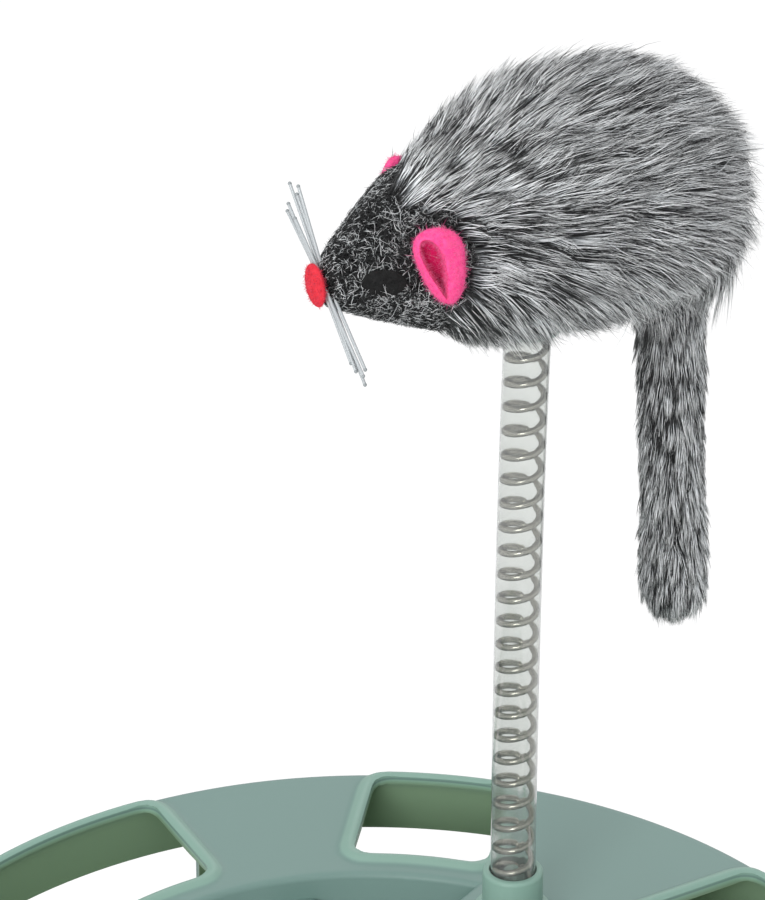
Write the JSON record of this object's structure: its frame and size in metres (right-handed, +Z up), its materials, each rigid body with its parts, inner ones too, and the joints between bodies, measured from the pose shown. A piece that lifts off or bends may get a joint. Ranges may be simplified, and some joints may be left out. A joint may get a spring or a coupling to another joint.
{
  "type": "cat track toy",
  "caption": "Ring-shaped ball track with open windows, and a plush mouse on a sprung clear post that bends and turns.",
  "frame": {"origin": "the ring's centre, on the floor that its pads stand on", "axes": "+Z up, -Y toward the viewer of the reference picture, +X to that viewer's right"},
  "size_m": [0.24, 0.24, 0.2605],
  "materials": {
    "sage_plastic": "moulded polypropylene in a muted sage green, slightly satin",
    "rubber": "dark soft rubber",
    "steel": "bright steel",
    "clear_pvc": "clear flexible plastic tube",
    "grey_plush": "long pile, dark at its roots and pale at its tips",
    "dark_plush": "short curly pile, near black with white fibres",
    "pink_felt": "bright pink felt",
    "red_felt": "bright red felt",
    "black_felt": "black felt",
    "clear_nylon": "clear nylon filament",
    "ivory_plastic": "smooth moulded plastic",
    "brass": "pressed brass"
  },
  "bodies": {
    "base": {"track_tray": "sage_plastic", "track_cover": "sage_plastic", "cover_screw_1": "steel", "cover_screw_2": "steel", "cover_screw_3": "steel", "cover_screw_4": "steel", "foot_pad_1": "rubber", "foot_pad_2": "rubber", "foot_pad_3": "rubber", "foot_pad_4": "rubber", "foot_pad_5": "rubber"},
    "post_foot": {"post_plug": "sage_plastic", "post_washer": "steel", "post_screw": "steel", "post_ferrule": "sage_plastic", "post_tube": "clear_pvc", "post_spring": "steel"},
    "mouse": {"mouse_socket": "sage_plastic", "mouse_body": "grey_plush", "mouse_head": "dark_plush", "nose": "red_felt", "eye_left": "black_felt", "eye_right": "black_felt", "ear_left": "pink_felt", "ear_right": "pink_felt", "whisker_1": "clear_nylon", "whisker_2": "clear_nylon", "whisker_3": "clear_nylon", "whisker_4": "clear_nylon", "whisker_5": "clear_nylon", "whisker_6": "clear_nylon"},
    "tail": {"mouse_tail": "grey_plush"},
    "bell": {"ball_bell": "brass"},
    "ball": {"ball_inner_half": "ivory_plastic", "ball_outer_half": "ivory_plastic"}
  },
  "joints": [
    {"name": "post_turn", "type": "hinge", "parent": "base", "child": "post_foot", "pos_m": [0.0335, 0.05, 0.042], "axis": [0, 0, 1], "continuous": true},
    {"name": "post_bend", "type": "hinge", "parent": "post_foot", "child": "mouse", "pos_m": [0.0336, 0.05, 0.11], "axis": [0.6018, -0.7986, 0], "range_deg": [-45, 45], "stiffness_Nm_per_rad": 1.2, "deforming": ["post_tube", "post_spring"]},
    {"name": "tail_swing", "type": "hinge", "parent": "mouse", "child": "tail", "pos_m": [0.06795, 0.07407, 0.2096], "axis": [0.6018, -0.7986, 0], "range_deg": [-20, 35]},
    {"name": "ball_orbit", "type": "hinge", "parent": "base", "child": "bell", "pos_m": [0, 0, 0.0248], "axis": [0, 0, 1], "continuous": true},
    {"name": "ball_roll", "type": "hinge", "parent": "bell", "child": "ball", "pos_m": [-0.05368, -0.08019, 0.0248], "axis": [-0.5563, -0.831, 0], "continuous": true}
  ],
  "couplings": [
    {"joint": "ball_roll", "follows": "ball_orbit", "ratio": -4.825}
  ]
}
